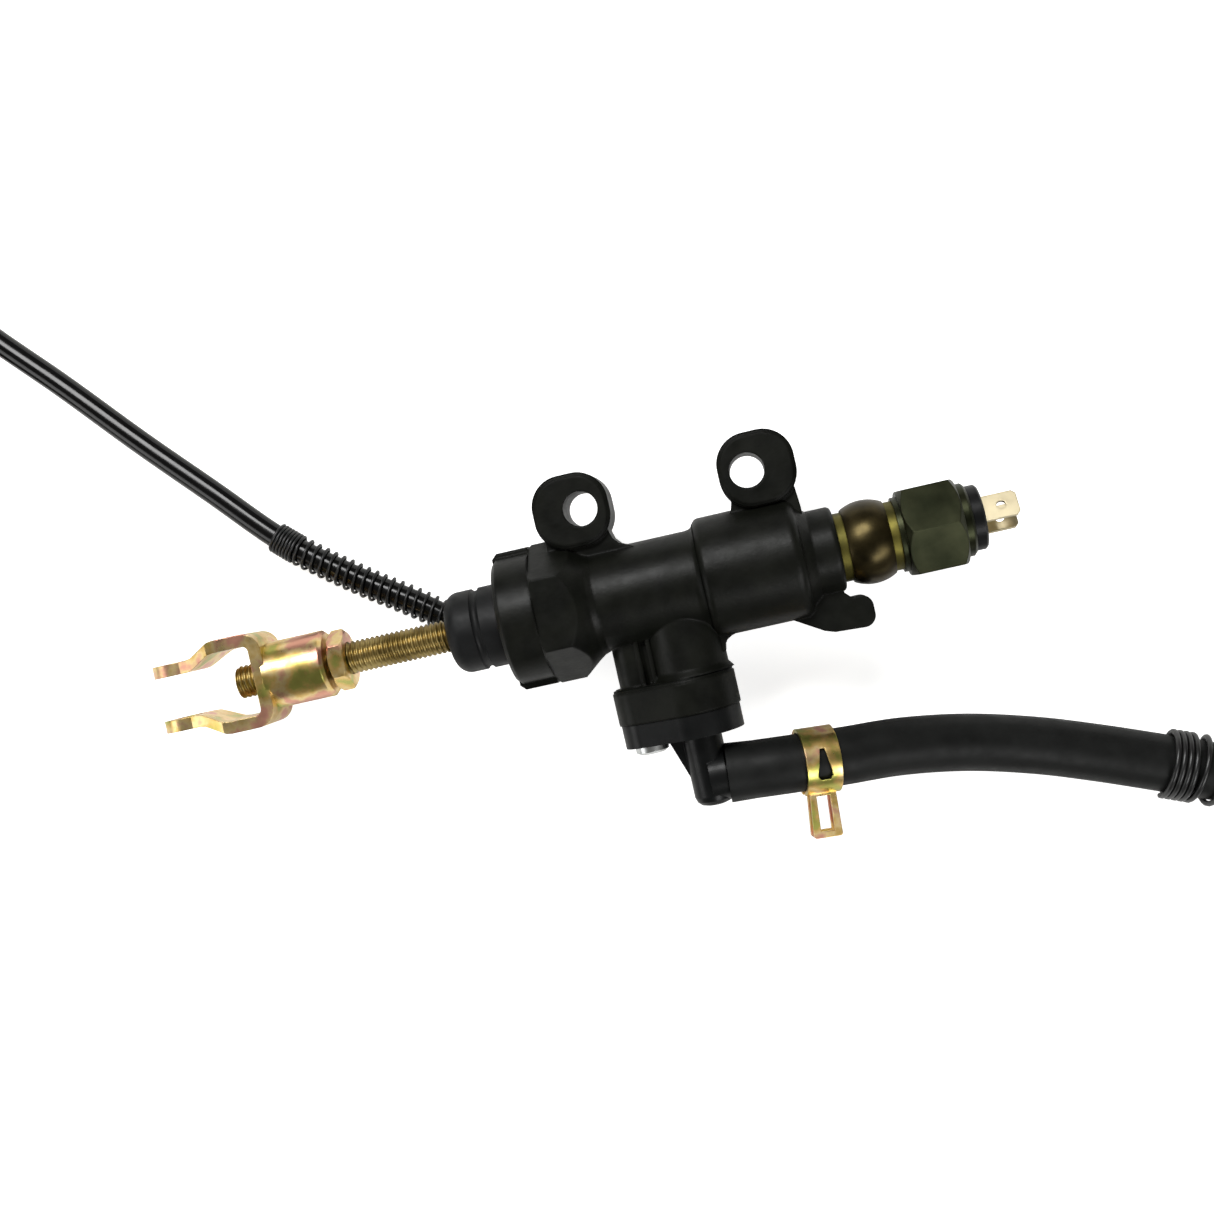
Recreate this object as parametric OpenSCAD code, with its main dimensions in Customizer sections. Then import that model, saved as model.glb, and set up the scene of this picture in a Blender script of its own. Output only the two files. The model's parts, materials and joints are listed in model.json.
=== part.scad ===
// Rear brake master cylinder with its feed hose, pressure hose and brake light switch.
// Millimetres. +X runs along the bore towards the switch, +Y towards the two bolt ears, +Z up
// from the surface that it lies on. The origin is midway between the two bolt holes.

/* [Mounting ears] */
// Distance between the two bolt holes
bolt_spacing = 40; // [36:1:46]
// Diameter of each bolt hole
bolt_hole_d = 8.2; // [6.4:0.1:9]
// Distance from the bore's axis to the line of the bolt holes
bolt_drop = 22.5; // [21:0.5:26]
// Thickness of each ear
ear_t = 14; // [10:1:18]
// Width of each ear along the bore
ear_w = 18.2; // [17:0.2:20]
// Height of each ear's boss
ear_h = 17.6; // [17:0.2:19]
// Radius of an ear's rounded corners
ear_r = 7.4; // [6:0.2:8]
// Distance from a bolt hole outwards to the middle of its ear
ear_shift = 2.3; // [1:0.1:3]

/* [Casting] */
// Diameter of the bore that the piston runs in
bore_d = 12.7; // [11:0.1:14.5]
// Diameter of the head across its corners
head_d = 34; // [31:0.5:38]
// Diameter of the head's round part, between its two ridges
head_round_d = 31; // [28:0.5:32]
// Length of the head's round part
head_round_l = 9; // [7:0.5:12]
// Length of the head's hexagon, as far as its cone
head_hex_l = 7; // [5:0.5:9]
// Length of the cone behind the head's hexagon
head_cone_l = 7; // [5:0.5:8]
// Diameter of the slim part of the barrel
slim_d = 24.2; // [22:0.2:26]
// Diameter of the stout part of the barrel
stout_d = 28.8; // [27:0.2:31]
// Place along the bore where the stout part of the barrel begins
stout_x = 4.4; // [2:0.2:6]
// Place along the bore where the banjo collar begins
collar_x = 30; // [28:0.5:31]
// Diameter of the banjo collar
collar_d = 20.4; // [18:0.2:22]
// Place along the bore of the face that the banjo seals on
seal_face_x = 37; // [36:0.5:40]
// Place along the bore where the head begins
head_x = -44; // [-46:0.5:-43]

/* [Reservoir port] */
// Place of the port along the bore
port_x = -4.2; // [-5:0.2:-3]
// Diameter of the port's neck
neck_d = 18.2; // [17:0.2:19]
// Distance from the socket's axis to the middle of the port's neck
neck_shift = 1.1; // [0:0.1:1.4]
// Diameter of the port's flange round its socket
flange_d = 22; // [20:0.5:24]
// Diameter of the flange's small end, round its screw
flange_ear_d = 13; // [11:0.5:14]
// Distance from the socket's axis to the screw's axis
screw_reach = 12.2; // [11.6:0.2:14]
// Distance from the bore's axis to the near face of the flange
flange_top = 21.6; // [20.5:0.1:23]
// Thickness of the port's flange
flange_t = 8.6; // [7:0.2:10]
// Thickness of the elbow's flange
elbow_flange_t = 5.6; // [4:0.2:7]
// Outer diameter of the elbow's pipe
pipe_d = 9.6; // [7:0.2:10]
// Bore of the elbow
pipe_bore = 5; // [4:0.2:5.4]
// Distance from the bore's axis to the elbow's outlet axis
outlet_drop = 46.6; // [45:0.2:50]

/* [Pushrod and clevis] */
// Diameter of the threaded rod
rod_d = 8; // [7:0.5:8.5]
// Place along the bore of the rod's free end
rod_end_x = -112.5; // [-116:0.5:-109]
// Width across the flats of the lock nut
nut_af = 13; // [12:0.5:14]
// Thickness of the lock nut
nut_t = 4; // [3:0.5:6]
// Place along the bore where the clevis socket meets the lock nut
clevis_x = -88.7; // [-92:0.1:-86]
// Gap between the lock nut and the clevis socket
nut_gap = 0.9; // [0.1:0.1:1.5]
// Length of the clevis socket
socket_l = 14.3; // [12:0.1:17]
// Outer diameter of the clevis socket
socket_d = 16.4; // [14:0.2:18]
// Thickness of the clevis sheet
sheet_t = 3; // [2.5:0.1:3.5]
// Width of the fork outside, next to its web
fork_w = 23; // [21:0.5:26]
// Width of the fork outside, at its tips
tip_w = 16.6; // [14:0.2:19]
// Distance from the fork's web to the clevis pin's axis
pin_reach = 23.5; // [23:0.5:26]
// Diameter of the clevis pin's hole
pin_d = 8; // [6:0.1:9]
// Turn of the clevis about the rod, in degrees
clevis_roll = 0; // [-10:1:10]

/* [Banjo and pressure switch] */
// Thickness of each sealing washer
washer_t = 2; // [1:0.1:2.4]
// Outer diameter of each sealing washer
washer_d = 16.4; // [14:0.2:18]
// Diameter of the banjo's ball
ball_d = 20; // [18:0.2:22]
// Width of the banjo between its two sealed faces
ball_w = 10; // [9:0.2:12]
// Diameter of the hollow bolt
bolt_d = 10; // [9:0.5:10]
// Width across the flats of the switch
switch_af = 20; // [18:0.5:22]
// Length of the switch's hexagon
switch_hex_l = 13.6; // [11:0.2:16]
// Diameter of the crimped end of the switch
crimp_d = 17.4; // [16:0.2:18]
// Length of the crimped end of the switch
crimp_l = 2.2; // [2:0.2:4]
// Diameter of the switch's insulator
insulator_d = 15.4; // [13.6:0.2:15.6]
// Width of a terminal blade
blade_w = 6.3; // [4.8:0.1:6.6]
// Thickness of a terminal blade
blade_t = 0.8; // [0.5:0.1:1]
// Length of a terminal blade outside the insulator
blade_l = 8.4; // [7:0.2:9]

/* [Seals and springs] */
// Radial clearance of the piston in its bore
piston_clear = 0.05; // [0.03:0.01:0.08]
// Outer diameter of the return spring
return_spring_d = 10; // [9:0.1:10.6]
// Wire of the return spring
return_wire_d = 1.1; // [0.8:0.1:1.2]
// Diameter of the dust boot outside the head
boot_d = 19.8; // [17:0.2:21]
// Length of the dust boot outside the head
boot_l = 14; // [10:0.5:15]

/* [Hoses] */
// Outer diameter of the pressure hose
brake_hose_d = 6.2; // [5:0.1:6.4]
// Wire of the pressure hose's spring guard
guard_wire_d = 0.8; // [0.6:0.1:1]
// Outer diameter of the feed hose
feed_hose_d = 14; // [12:0.5:14.5]
// Wire of the feed hose's guard
feed_wire_d = 1.4; // [1:0.1:1.8]

/* [Hidden] */

$fn = 64;
tiny = 0.01;
// Gap between pieces that seat on each other without touching
seat_gap = 0.1;
// How far a pear's straight sides cut into its round ends
side_inset = 0.02;
// Radial gap of a threaded or turning fit
thread_clear = 0.05;

// Places along the bore
bore_r = bore_d / 2;
head_r = head_d / 2;
hex_x = head_x + head_round_l;
cone_x = hex_x + head_hex_l;
slim_x = cone_x + head_cone_l;
recess_r = 9.6;
step_x = head_x + 12.9;
boot_seat_l = 8.4;
ring_t = 1.3;
stop_t = 1.5;
stop_hole_r = 4.2;
stroke = 10;
bore_end_x = seal_face_x - 11.4;
tapped_l = 9.4;
bolt_clear = 0.08;
passage_r = 1.5;

// The level of the surface that it lies on
ground_z = -24.4;

// Piston
ball_r = 5.1;
ball_gap = 0.06;
ball_x = step_x + sqrt(ball_r * ball_r - stop_hole_r * stop_hole_r) + 0.05;
piston_r = bore_r - piston_clear;
piston_x = ball_x - 0.4;
spool_r = 3.8;
rear_seal_x = ball_x + 5.6;
rear_seal_l = 3;
cup_x = port_x + 0.3;
cup_l = 3.6;
stem_r = 2.6;
nose_l = 3;
nose_x = cup_x + cup_l + 0.1;
seat_t = 0.8;
spring_x = nose_x + seat_t;
feed_hole_x = port_x - 4;
relief_hole_x = cup_x + cup_l + 0.8;
feed_hole_r = 1.2;
relief_hole_r = 0.4;

// Rod
rod_r = rod_d / 2;
neck_r = 3.2;
thread_end_x = step_x - stop_t - ring_t - stroke - 3.6;
boot_x = head_x - boot_l;
mouth_r = rod_r + 1.8;

// Banjo and switch
banjo_x = seal_face_x + washer_t;
outer_washer_x = banjo_x + ball_w;
switch_x = outer_washer_x + washer_t;
switch_flange_t = 1.2;
switch_hex_x = switch_x + switch_flange_t;
crimp_x = switch_hex_x + switch_hex_l;
insulator_x = crimp_x + crimp_l;
insulator_l = 2.8;
blade_x = insulator_x + insulator_l;
bolt_r = bolt_d / 2 - bolt_clear;
stem_l = 2 * washer_t + ball_w + tapped_l - 0.6;
chamber_r = 6;
chamber_x = switch_hex_x + 2;
diaphragm_t = 0.6;
contact_travel = 0.5;
plate_x = chamber_x + diaphragm_t + seat_gap;
plate_t = 1.2;
blade_turn = 25;
blade_offset = 3.4;
blade_foot_x = plate_x + plate_t + 0.6 + contact_travel + 0.02;

// Banjo neck and ferrule of the pressure hose
hose_z = ground_z + brake_hose_d / 2 + 1.1;
neck_bend_r = 7;
neck_tube_r = 2.6;
ferrule_r = 3.9;
ferrule_l = 22;
ball_mid_x = banjo_x + ball_w / 2;
ferrule_x = ball_mid_x - neck_bend_r - 1;

// Reservoir port
screw_x = port_x - screw_reach;
joint_y = -flange_top - flange_t;
socket_r = 6.2;
socket_l_port = 12;
plug_r = 4.6;
plug_l = 8;
corner_r = 6.2;
shoulder_x = 0;
spigot_r = 3.9;
spigot_l = 19;
screw_r = 2.45;

// Route of the pressure hose's centre, from its ferrule to the coil: two places from above, and
// the height of its underside over the surface that it lies on
brake_route = [
    [14, 0, 1.1], [2, -3, 1.1], [-12, -8, 1.1], [-26, -9.5, 1.1], [-42, -5.5, 1.1], [-56, 0, 1.1],
    [-69, 9.5, 1.1], [-84, 20, 1.1], [-100, 33, 1.1], [-116, 50, 0.6], [-132, 67, 0.2],
    [-149, 86, 0.2], [-165, 103, 0.2], [-185, 125.6, 0.2]
];
// The coil that holds the rest of the pressure hose
coil_centre = [-211, 99.5];
coil_r = 33.6;
coil_turns = 2;
// Route of the feed hose's centre, from the elbow's shoulder to its cut end
feed_route = [
    [0, -46.6, 0], [8, -47.2, -0.2], [16, -47.8, -0.8], [28, -48.8, -3.2], [42, -50, -7],
    [58, -53, -11.2], [74, -57.6, -14.2], [88, -62.6, -15.5], [102, -68, -15.6],
    [118, -74.4, -15.6], [134, -81, -15.6], [150, -88, -15.6]
];
rings_per_span = 2;
spring_gap = 0.35;

// ---- shapes used more than once ----

function unit(v) = v / norm(v);

// One point of a smooth curve through four points of a route
function curve_point(a, b, c, d, t) =
    0.5 * (2 * b + (c - a) * t + (2 * a - 5 * b + 4 * c - d) * t * t
    + (3 * b - a - 3 * c + d) * t * t * t);

// A smooth curve through the points of a route, with a number of steps on each span
function smooth(route, steps) = [
    for (i = [0 : len(route) - 2], s = [0 : steps - 1])
        curve_point(route[max(i - 1, 0)], route[i], route[i + 1],
            route[min(i + 2, len(route) - 1)], s / steps),
    route[len(route) - 1]
];

function direction(p, i) = unit(p[min(i + 1, len(p) - 1)] - p[max(i - 1, 0)]);

// Length of a curve as far as each of its points
function run_lengths(p, i = 0, sum = 0) = i == len(p) - 1
    ? [sum]
    : concat([sum], run_lengths(p, i + 1, sum + norm(p[i + 1] - p[i])));

// The point at a distance along a curve, and the curve's direction there
function span_at(runs, s, i = 0) = (i >= len(runs) - 2 || runs[i + 1] > s)
    ? i
    : span_at(runs, s, i + 1);
function point_at(p, runs, s) = let (i = span_at(runs, s))
    p[i] + (p[i + 1] - p[i]) * (s - runs[i]) / (runs[i + 1] - runs[i]);
function direction_at(p, runs, s) = let (i = span_at(runs, s), t = (s - runs[i]) / (runs[i + 1] - runs[i]))
    unit(direction(p, i) * (1 - t) + direction(p, i + 1) * t);

// A round section swept along points, with a vector at each that sets where its first side lies
module swept(p, ups, r, sides) {
    rings = [
        for (i = [0 : len(p) - 1])
            let (t = direction(p, i), side = unit(cross(t, ups[i])), up = cross(side, t))
            for (k = [0 : sides - 1])
                p[i] + r * (cos(360 * k / sides) * side + sin(360 * k / sides) * up)
    ];
    last = len(p) - 1;
    walls = [
        for (i = [0 : last - 1], k = [0 : sides - 1])
            let (n = (k + 1) % sides)
            each [
                [i * sides + k, i * sides + n, (i + 1) * sides + n],
                [i * sides + k, (i + 1) * sides + n, (i + 1) * sides + k]
            ]
    ];
    start = [for (k = [sides - 1 : -1 : 0]) k];
    end = [for (k = [0 : sides - 1]) last * sides + k];
    polyhedron(points = rings, faces = concat(walls, [start, end]), convexity = 12);
}

module tube_along(p, d, sides) {
    swept(p, [for (q = p) [0, 0, 1]], d / 2, sides);
}

// A wire wound round a curve; pitches lists the distance along the curve at each step
module wound(p, stations, steps_per_turn, r, wire_r, sides) {
    runs = run_lengths(p);
    turns = [
        for (i = [0 : len(stations) - 1])
            let (c = point_at(p, runs, stations[i]), t = direction_at(p, runs, stations[i]))
            let (a = 360 * i / steps_per_turn, side = unit(cross(t, [0, 0, 1])), up = cross(side, t))
            [c + r * (cos(a) * side + sin(a) * up), cos(a) * side + sin(a) * up]
    ];
    swept([for (q = turns) q[0]], [for (q = turns) q[1]], wire_r, sides);
}

// Everything round the bore is drawn about +X and moved to the bore's place here
module at_bore() {
    translate([0, -bolt_drop, 0]) children();
}

// Turns what is drawn along +Z to lie along +X, from the given place
module along_x(x) {
    translate([x, 0, 0]) rotate([0, 90, 0]) children();
}

// Turns what is drawn along +Z to hang along -Y, from the given distance below the bore
module along_port(x, y) {
    translate([x, y, 0]) rotate([90, 0, 0]) children();
}

// Two circles joined by their common tangents
module pear(r1, r2, reach) {
    a = acos((r1 - r2) / reach);
    c1 = r1 - side_inset;
    c2 = r2 - side_inset;
    circle(r = r1);
    translate([reach, 0]) circle(r = r2);
    polygon([
        [c1 * cos(a), c1 * sin(a)], [reach + c2 * cos(a), c2 * sin(a)],
        [reach + c2 * cos(a), -c2 * sin(a)], [c1 * cos(a), -c1 * sin(a)]
    ]);
}

module disc(r, t, hole_r) {
    difference() {
        cylinder(r = r, h = t);
        translate([0, 0, -1]) cylinder(r = hole_r, h = t + 2);
    }
}

// ---- the casting ----

module head() {
    ridge_w = 4.4;
    edge = 1;
    waist_r = slim_d / 2;
    along_x(head_x) {
        cylinder(r1 = head_round_d / 2 - edge, r2 = head_round_d / 2, h = edge);
        translate([0, 0, edge]) cylinder(d = head_round_d, h = head_round_l - edge);
    }
    intersection() {
        along_x(hex_x) rotate([0, 0, 30]) cylinder(r = head_r, h = head_hex_l + head_cone_l, $fn = 6);
        along_x(0) rotate_extrude() polygon([
            [0, hex_x], [head_r - 0.8, hex_x], [head_r, hex_x + 0.8], [head_r, cone_x],
            [waist_r + 1.7, slim_x - 3], [waist_r + 0.6, slim_x - 1.4], [waist_r + 0.1, slim_x], [0, slim_x]
        ]);
    }
    intersection() {
        translate([head_x, -head_r, -ridge_w / 2]) cube([head_round_l, head_d, ridge_w]);
        along_x(head_x) {
            cylinder(r1 = head_r - 1.4, r2 = head_r - 0.2, h = 1.2);
            translate([0, 0, 1.2]) cylinder(r = head_r - 0.2, h = head_round_l - 1.2);
        }
    }
}

module barrel() {
    shoulder_r = 2.4;
    step_r = 1.8;
    stout_r = stout_d / 2;
    slim_r = slim_d / 2;
    collar_r = collar_d / 2;
    end_round = 1.2;
    along_x(0) rotate_extrude() {
        polygon([
            [0, slim_x - 5], [slim_r, slim_x - 5], [slim_r, stout_x - step_r],
            [slim_r + 0.2, stout_x - 0.8], [slim_r + 0.7, stout_x - 0.2], [slim_r + 1.4, stout_x],
            [stout_r - step_r, stout_x], [stout_r, stout_x + step_r],
            [stout_r, collar_x - shoulder_r - 1.4], [collar_r + 1.4, collar_x - 0.6], [collar_r, collar_x + 1],
            [collar_r, seal_face_x - end_round], [collar_r - end_round, seal_face_x], [0, seal_face_x]
        ]);
        translate([stout_r - step_r, stout_x + step_r]) circle(r = step_r);
        translate([stout_r - shoulder_r, collar_x - shoulder_r - 1.4]) circle(r = shoulder_r);
        translate([collar_r - end_round, seal_face_x - end_round]) circle(r = end_round);
    }
}

// A rectangle with round corners, centred on the origin
module rounded(w, h, r) {
    square([w - 2 * r, h], center = true);
    square([w, h - 2 * r], center = true);
    for (x = [-1, 1], y = [-1, 1]) translate([x * (w / 2 - r), y * (h / 2 - r)]) circle(r = r);
}

// The sides of an ear's boss lean in a little towards both faces
module ear(side) {
    edge = 0.8;
    translate([side * (bolt_spacing / 2 + ear_shift), bolt_drop, 0]) {
        linear_extrude(ear_t - 2 * edge, center = true) rounded(ear_w, ear_h, ear_r);
        linear_extrude(ear_t - edge, center = true) rounded(ear_w - 0.6, ear_h - 0.6, ear_r - 0.3);
        linear_extrude(ear_t, center = true) rounded(ear_w - 1.6, ear_h - 1.6, ear_r - 0.8);
    }
}

// The sunk web between an ear and the barrel, with a flared foot on each side
module ear_web(side) {
    web_t = ear_t - 4.6;
    inner = side * (bolt_spacing / 2 + ear_shift - ear_w / 2 + 1.6);
    outer = side * (bolt_spacing / 2 + ear_shift + ear_w / 2 - 1.6);
    foot = 5;
    top = bolt_drop - 4;
    base = slim_d / 2 - 0.8;
    translate([0, 0, -web_t / 2]) linear_extrude(web_t) polygon([
        [inner, top], [inner, bolt_drop - 6.5], [inner - side * 0.5, bolt_drop - 8.3],
        [inner - side * 1.8, bolt_drop - 9.8], [inner - side * foot, base],
        [inner - side * foot, 0], [outer, 0], [outer + side * 0.6, base], [outer, top]
    ]);
}

module stop_lug() {
    lug_t = 6;
    end_r = 2.8;
    translate([0, 0, -lug_t / 2]) linear_extrude(lug_t) {
        polygon([
            [22, -8], [seal_face_x - 1, -8], [seal_face_x - 1, -10.4], [seal_face_x + 0.4, -11.8],
            [seal_face_x + 2.2, -11.8], [seal_face_x + 5, -14.6], [seal_face_x + 5, -16.6],
            [seal_face_x + 2.2, -19.4], [seal_face_x - 5, -19], [seal_face_x - 7.4, -18.2], [22, -13.6]
        ]);
        translate([seal_face_x + 2.2, -14.6]) circle(r = end_r);
        translate([seal_face_x + 2.2, -16.6]) circle(r = end_r);
    }
}

module port() {
    boss_r = 4.4;
    web_t = 6;
    rib_w = 1;
    edge = 0.9;
    neck_r_port = neck_d / 2;
    neck_x = port_x + neck_shift;
    flare = 3.4;
    stout_r = stout_d / 2;
    along_port(neck_x, 0) cylinder(r = neck_r_port, h = flange_top + tiny);
    along_port(neck_x, -flange_top + 1.5) cylinder(r1 = neck_r_port, r2 = neck_r_port + 1.1, h = 1.5 + tiny);
    translate([neck_x + neck_r_port, 0, -flare]) linear_extrude(2 * flare) polygon([
        [-3, -stout_r - 3.4], [0, -stout_r - 3.4], [0.3, -stout_r - 1.8], [1, -stout_r - 0.8],
        [2.2, -stout_r - 0.1], [3.6, -stout_r + 0.3], [3.6, -10], [-3, -10]
    ]);
    along_port(port_x, -flange_top) mirror([1, 0, 0]) {
        linear_extrude(edge) pear(flange_d / 2 - edge, flange_ear_d / 2 - edge, screw_reach);
        translate([0, 0, edge / 3]) linear_extrude(edge)
            pear(flange_d / 2 - edge / 3, flange_ear_d / 2 - edge / 3, screw_reach);
        translate([0, 0, edge]) linear_extrude(flange_t - edge)
            pear(flange_d / 2, flange_ear_d / 2, screw_reach);
    }
    along_port(screw_x, -slim_d / 2 + 5) cylinder(r = boss_r, h = flange_top - slim_d / 2 + 5 + tiny);
    translate([screw_x, -flange_top - tiny, -web_t / 2])
        cube([screw_reach, flange_top - slim_d / 2 + 4, web_t]);
    for (rib = [1.4, 4.2]) translate([screw_x + rib, -flange_top - tiny, -boss_r - 0.6])
        cube([rib_w, flange_top - slim_d / 2 + 5, 2 * boss_r + 1.2]);
}

module bore_cuts() {
    groove_r = recess_r + 0.8;
    along_x(head_x - 1) cylinder(r = recess_r, h = step_x - head_x + 1);
    along_x(step_x - stop_t - ring_t - 0.1) cylinder(r = groove_r, h = ring_t + 0.1);
    along_x(step_x - 1) cylinder(r = bore_r, h = bore_end_x - step_x + 1);
    along_x(bore_end_x - 1) cylinder(r = passage_r, h = 4);
    along_x(seal_face_x - tapped_l) cylinder(r = bolt_d / 2, h = tapped_l + 1);
    along_port(port_x, joint_y + socket_l_port) cylinder(r = socket_r, h = socket_l_port + 1);
    along_port(feed_hole_x, 0) cylinder(r = feed_hole_r, h = flange_top);
    along_port(relief_hole_x, 0) cylinder(r = relief_hole_r, h = flange_top);
    along_port(screw_x, joint_y + 9) cylinder(r = screw_r - 0.05, h = 10);
}

module cylinder_body() {
    color("#1d1e1b") at_bore() difference() {
        union() {
            head();
            barrel();
            for (side = [-1, 1]) {
                ear(side);
                ear_web(side);
            }
            stop_lug();
            port();
        }
        bore_cuts();
        for (side = [-1, 1]) translate([side * bolt_spacing / 2, bolt_drop, -ear_t])
            cylinder(d = bolt_hole_d, h = 2 * ear_t);
    }
}

// ---- the head's pieces ----

module dust_boot() {
    lip_t = 1.6;
    wall = 1.8;
    round_r = 3.6;
    groove_x = head_x - 6;
    seat_r = recess_r - 0.05;
    boot_r = boot_d / 2;
    color("#17181a") at_bore() along_x(0) rotate_extrude() difference() {
        union() {
            translate([0, boot_x + round_r]) square([boot_r, boot_l - round_r - 0.1]);
            translate([0, boot_x]) square([boot_r - round_r, boot_l - 0.1]);
            translate([boot_r - round_r, boot_x + round_r]) circle(r = round_r);
            translate([0, head_x - 0.2]) square([seat_r, boot_seat_l]);
        }
        translate([-1, boot_x - 1]) square([mouth_r + 1, 60]);
        translate([-1, boot_x + lip_t]) square([boot_r - wall + 1, boot_l - lip_t - 2]);
        translate([-1, head_x - 3]) square([seat_r - wall + 1, 20]);
        translate([boot_r + 0.5, groove_x]) circle(r = 1.1);
    }
}

module retaining_ring() {
    lug_w = 5;
    inner_r = 7.4;
    color("#6d6f72") at_bore() along_x(step_x - stop_t - ring_t - 0.05) difference() {
        disc(recess_r + 0.7, ring_t, inner_r);
        translate([-lug_w / 2, -recess_r - 2, -1]) cube([lug_w, recess_r + 2, ring_t + 2]);
    }
}

module stop_washer() {
    color("#a9a48f") at_bore() along_x(step_x - stop_t) disc(recess_r - 0.1, stop_t - 0.03, stop_hole_r);
}

// ---- the rod's pieces ----

module pushrod() {
    color("#b9a055") at_bore() {
        translate([ball_x, 0, 0]) sphere(r = ball_r);
        along_x(thread_end_x) cylinder(r = neck_r, h = ball_x - thread_end_x);
        along_x(rod_end_x + 1) cylinder(r = rod_r, h = thread_end_x - rod_end_x - 1.8);
        along_x(rod_end_x) cylinder(r1 = rod_r - 0.9, r2 = rod_r, h = 1);
        along_x(thread_end_x - 0.8) cylinder(r1 = rod_r, r2 = neck_r, h = 0.8);
    }
}

module lock_nut() {
    corner_r = nut_af / 2 / cos(30);
    chamfer = 0.7;
    color("#c1a24e") at_bore() along_x(clevis_x + nut_gap) difference() {
        intersection() {
            rotate([0, 0, 30]) cylinder(r = corner_r, h = nut_t, $fn = 6);
            union() {
                cylinder(r1 = nut_af / 2, r2 = corner_r, h = chamfer);
                translate([0, 0, chamfer]) cylinder(r = corner_r, h = nut_t - 2 * chamfer);
                translate([0, 0, nut_t - chamfer]) cylinder(r1 = corner_r, r2 = nut_af / 2, h = chamfer);
            }
        }
        translate([0, 0, -1]) cylinder(r = rod_r + thread_clear, h = nut_t + 2);
    }
}

// One side of the bent strip seen from above, from its web to its tip
function fork_side_line(out, tip, web_x, tip_x) = [
    [web_x - 11, out], [web_x - 12.4, out - 0.2], [web_x - 13.6, out - 0.8],
    [web_x - 16.6, tip + 0.8], [web_x - 17.8, tip + 0.2], [web_x - 19.2, tip], [tip_x, tip]
];
function mirrored(line) = [for (i = [len(line) - 1 : -1 : 0]) [line[i][0], -line[i][1]]];

// The fork from above: a bent strip of even thickness, cranked in towards its tips
module fork_outline() {
    web_x = clevis_x - socket_l;
    bend_r = 4.5;
    tip_x = web_x - pin_reach - 8.5;
    out = fork_w / 2;
    outer = fork_side_line(out, tip_w / 2, web_x, tip_x);
    inner = fork_side_line(out - sheet_t, tip_w / 2 - sheet_t, web_x - 0.4, tip_x - 1);
    difference() {
        union() {
            polygon(concat(
                [[web_x + tiny, out - bend_r], [web_x - bend_r, out]], outer, mirrored(outer),
                [[web_x - bend_r, -out], [web_x + tiny, -out + bend_r]]
            ));
            for (side = [-1, 1]) translate([web_x - bend_r, side * (out - bend_r)]) circle(r = bend_r);
        }
        difference() {
            polygon(concat(
                [[web_x - sheet_t, out - sheet_t]], inner, mirrored(inner), [[web_x - sheet_t, -out + sheet_t]]
            ));
            for (side = [-1, 1]) translate([web_x - sheet_t, side * (out - sheet_t)])
                mirror([0, side < 0 ? 1 : 0]) inner_corner(bend_r - sheet_t);
        }
    }
}

// What a bend leaves in the corner inside it
module inner_corner(r) {
    difference() {
        translate([-r, -r]) square([r + 0.1, r + 0.1]);
        translate([-r, -r]) circle(r = r);
    }
}

// The fork from the side: wide next to the web and round at the tips
module fork_side() {
    web_x = clevis_x - socket_l;
    pin_x = web_x - pin_reach;
    tip_r = 6.5;
    web_h = 15;
    leaf_h = 17;
    translate([pin_x, 0]) circle(r = tip_r);
    polygon([
        [web_x + 1, -web_h / 2], [web_x + 1, web_h / 2], [web_x - 8, leaf_h / 2], [web_x - 13, leaf_h / 2],
        [pin_x + 2.2, tip_r - 0.38], [pin_x, tip_r], [pin_x, -tip_r], [pin_x + 2.2, -tip_r + 0.38],
        [web_x - 13, -leaf_h / 2], [web_x - 8, -leaf_h / 2]
    ]);
}

module clevis() {
    web_x = clevis_x - socket_l;
    color("#c4a651") at_bore() rotate([clevis_roll, 0, 0]) difference() {
        union() {
            intersection() {
                translate([0, 0, -12]) linear_extrude(24) fork_outline();
                translate([0, 20, 0]) rotate([90, 0, 0]) linear_extrude(40) fork_side();
            }
            along_x(web_x - 1) cylinder(d = socket_d, h = socket_l + 1 - 0.8);
            along_x(clevis_x - 0.8) cylinder(d1 = socket_d, d2 = socket_d - 1.6, h = 0.8);
        }
        along_x(web_x - 8) cylinder(r = rod_r + thread_clear, h = socket_l + 12);
        translate([web_x - pin_reach, 20, 0]) rotate([90, 0, 0]) cylinder(d = pin_d, h = 40);
    }
}

// ---- the piston and its pieces ----

module piston() {
    land_x = cup_x - 3.4;
    groove_r = 4.4;
    seal_end = rear_seal_x + rear_seal_l;
    end_x = nose_x + nose_l;
    color("#b7b2a4") at_bore() along_x(0) rotate_extrude() difference() {
        polygon([
            [0, piston_x], [piston_r - 0.4, piston_x], [piston_r, piston_x + 0.4],
            [piston_r, rear_seal_x], [groove_r, rear_seal_x], [groove_r, seal_end],
            [piston_r, seal_end], [piston_r, seal_end + 1.7], [piston_r - 0.3, seal_end + 2],
            [spool_r, seal_end + 2], [spool_r, land_x], [piston_r - 0.3, land_x],
            [piston_r, land_x + 0.3], [piston_r, cup_x], [stem_r, cup_x], [stem_r, end_x - 0.6],
            [stem_r - 0.6, end_x], [0, end_x]
        ]);
        translate([0, ball_x]) circle(r = ball_r + ball_gap);
    }
}

module primary_cup() {
    seal_r = bore_r - 0.03;
    lip = 1.6;
    color("#202226") at_bore() along_x(cup_x) rotate_extrude() difference() {
        translate([stem_r, 0]) square([seal_r - stem_r, cup_l]);
        polygon([[stem_r + 1.2, cup_l + 0.1], [seal_r - 0.9, cup_l + 0.1], [seal_r - lip, cup_l - 2]]);
    }
}

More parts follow.
